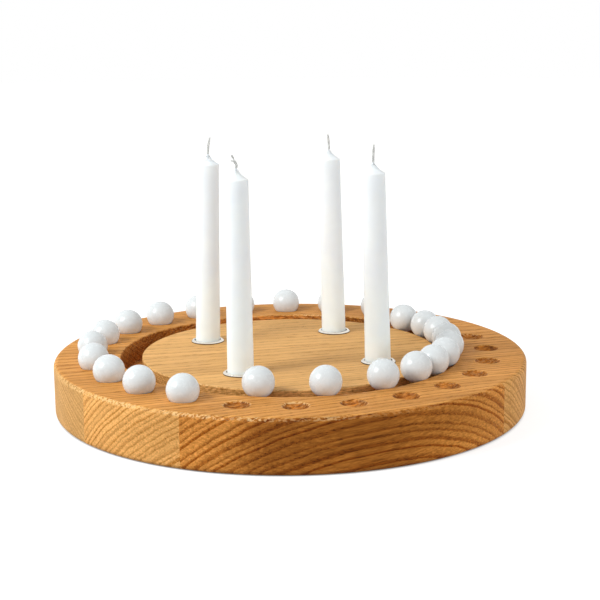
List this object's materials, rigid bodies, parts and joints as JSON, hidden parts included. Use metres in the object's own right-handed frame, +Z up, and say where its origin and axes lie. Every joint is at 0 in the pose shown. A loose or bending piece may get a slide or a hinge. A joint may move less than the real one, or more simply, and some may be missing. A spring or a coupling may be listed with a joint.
{
  "type": "advent candle holder",
  "caption": "Round oak plate with candle cups, a ball channel and a ring of day dimples: white balls go from the channel to a dimple through advent, round white taper candles.",
  "frame": {"origin": "centre of the plate's underside, on the surface it stands on", "axes": "+Z up, +X along the oak's grain"},
  "size_m": [0.4, 0.4, 0.224],
  "materials": {
    "oak": "oiled oak",
    "cup_metal": "polished nickel plate",
    "wax": "white wax",
    "wick": "braided cotton",
    "lacquered_ball": "white gloss lacquer"
  },
  "bodies": {
    "plate": {"oak_stave_1": "oak", "oak_stave_2": "oak", "oak_stave_3": "oak", "oak_stave_4": "oak", "oak_stave_5": "oak", "oak_stave_6": "oak", "candle_cup_1": "cup_metal", "candle_cup_2": "cup_metal", "candle_cup_3": "cup_metal", "candle_cup_4": "cup_metal"},
    "candle_1_body": {"candle_1": "wax", "wick_1": "wick"},
    "candle_2_body": {"candle_2": "wax", "wick_2": "wick"},
    "candle_3_body": {"candle_3": "wax", "wick_3": "wick"},
    "candle_4_body": {"candle_4": "wax", "wick_4": "wick"},
    "day_ball_01_body": {"day_ball_01": "lacquered_ball"},
    "day_ball_02_body": {"day_ball_02": "lacquered_ball"},
    "day_ball_03_body": {"day_ball_03": "lacquered_ball"},
    "day_ball_04_body": {"day_ball_04": "lacquered_ball"},
    "day_ball_05_body": {"day_ball_05": "lacquered_ball"},
    "day_ball_06_body": {"day_ball_06": "lacquered_ball"},
    "day_ball_07_body": {"day_ball_07": "lacquered_ball"},
    "day_ball_08_body": {"day_ball_08": "lacquered_ball"},
    "day_ball_09_body": {"day_ball_09": "lacquered_ball"},
    "day_ball_10_body": {"day_ball_10": "lacquered_ball"},
    "day_ball_11_body": {"day_ball_11": "lacquered_ball"},
    "day_ball_12_body": {"day_ball_12": "lacquered_ball"},
    "day_ball_13_body": {"day_ball_13": "lacquered_ball"},
    "day_ball_14_body": {"day_ball_14": "lacquered_ball"},
    "day_ball_15_body": {"day_ball_15": "lacquered_ball"},
    "day_ball_16_body": {"day_ball_16": "lacquered_ball"},
    "day_ball_17_body": {"day_ball_17": "lacquered_ball"},
    "day_ball_18_body": {"day_ball_18": "lacquered_ball"},
    "day_ball_19_body": {"day_ball_19": "lacquered_ball"},
    "day_ball_20_body": {"day_ball_20": "lacquered_ball"},
    "day_ball_21_body": {"day_ball_21": "lacquered_ball"},
    "day_ball_22_body": {"day_ball_22": "lacquered_ball"},
    "day_ball_23_body": {"day_ball_23": "lacquered_ball"},
    "day_ball_24_body": {"day_ball_24": "lacquered_ball"}
  },
  "joints": [
    {"name": "candle_1_lift", "type": "slide", "parent": "plate", "child": "candle_1_body", "axis": [-0.0217, 0.0065, 0.9997], "range_m": [0, 0.045]},
    {"name": "candle_2_lift", "type": "slide", "parent": "plate", "child": "candle_2_body", "axis": [0.0201, -0.006, 0.9998], "range_m": [0, 0.045]},
    {"name": "candle_3_lift", "type": "slide", "parent": "plate", "child": "candle_3_body", "axis": [-0.005, 0.0015, 1], "range_m": [0, 0.045]},
    {"name": "candle_4_lift", "type": "slide", "parent": "plate", "child": "candle_4_body", "axis": [-0.0251, 0.0075, 0.9997], "range_m": [0, 0.045]},
    {"name": "day_ball_01_lift", "type": "slide", "parent": "plate", "child": "day_ball_01_body", "axis": [0, 0, 1], "range_m": [0, 0.03]},
    {"name": "day_ball_02_lift", "type": "slide", "parent": "plate", "child": "day_ball_02_body", "axis": [0, 0, 1], "range_m": [0, 0.03]},
    {"name": "day_ball_03_lift", "type": "slide", "parent": "plate", "child": "day_ball_03_body", "axis": [0, 0, 1], "range_m": [0, 0.03]},
    {"name": "day_ball_04_lift", "type": "slide", "parent": "plate", "child": "day_ball_04_body", "axis": [0, 0, 1], "range_m": [0, 0.03]},
    {"name": "day_ball_05_lift", "type": "slide", "parent": "plate", "child": "day_ball_05_body", "axis": [0, 0, 1], "range_m": [0, 0.03]},
    {"name": "day_ball_06_lift", "type": "slide", "parent": "plate", "child": "day_ball_06_body", "axis": [0, 0, 1], "range_m": [0, 0.03]},
    {"name": "day_ball_07_lift", "type": "slide", "parent": "plate", "child": "day_ball_07_body", "axis": [0, 0, 1], "range_m": [0, 0.03]},
    {"name": "day_ball_08_lift", "type": "slide", "parent": "plate", "child": "day_ball_08_body", "axis": [0, 0, 1], "range_m": [0, 0.03]},
    {"name": "day_ball_09_lift", "type": "slide", "parent": "plate", "child": "day_ball_09_body", "axis": [0, 0, 1], "range_m": [0, 0.03]},
    {"name": "day_ball_10_lift", "type": "slide", "parent": "plate", "child": "day_ball_10_body", "axis": [0, 0, 1], "range_m": [0, 0.03]},
    {"name": "day_ball_11_lift", "type": "slide", "parent": "plate", "child": "day_ball_11_body", "axis": [0, 0, 1], "range_m": [0, 0.03]},
    {"name": "day_ball_12_lift", "type": "slide", "parent": "plate", "child": "day_ball_12_body", "axis": [0, 0, 1], "range_m": [0, 0.03]},
    {"name": "day_ball_13_lift", "type": "slide", "parent": "plate", "child": "day_ball_13_body", "axis": [0, 0, 1], "range_m": [0, 0.03]},
    {"name": "day_ball_14_roll", "type": "hinge", "parent": "plate", "child": "day_ball_14_body", "pos_m": [0, 0, 0.05255], "axis": [0, 0, 1], "range_deg": [-100, 10]},
    {"name": "day_ball_15_lift", "type": "slide", "parent": "plate", "child": "day_ball_15_body", "axis": [0, 0, 1], "range_m": [0, 0.03]},
    {"name": "day_ball_16_lift", "type": "slide", "parent": "plate", "child": "day_ball_16_body", "axis": [0, 0, 1], "range_m": [0, 0.03]},
    {"name": "day_ball_17_lift", "type": "slide", "parent": "plate", "child": "day_ball_17_body", "axis": [0, 0, 1], "range_m": [0, 0.03]},
    {"name": "day_ball_18_lift", "type": "slide", "parent": "plate", "child": "day_ball_18_body", "axis": [0, 0, 1], "range_m": [0, 0.03]},
    {"name": "day_ball_19_lift", "type": "slide", "parent": "plate", "child": "day_ball_19_body", "axis": [0, 0, 1], "range_m": [0, 0.03]},
    {"name": "day_ball_20_lift", "type": "slide", "parent": "plate", "child": "day_ball_20_body", "axis": [0, 0, 1], "range_m": [0, 0.03]},
    {"name": "day_ball_21_lift", "type": "slide", "parent": "plate", "child": "day_ball_21_body", "axis": [0, 0, 1], "range_m": [0, 0.03]},
    {"name": "day_ball_22_lift", "type": "slide", "parent": "plate", "child": "day_ball_22_body", "axis": [0, 0, 1], "range_m": [0, 0.03]},
    {"name": "day_ball_23_lift", "type": "slide", "parent": "plate", "child": "day_ball_23_body", "axis": [0, 0, 1], "range_m": [0, 0.03]},
    {"name": "day_ball_24_roll", "type": "hinge", "parent": "plate", "child": "day_ball_24_body", "pos_m": [0, 0, 0.05255], "axis": [0, 0, 1], "range_deg": [-2, 105]}
  ]
}
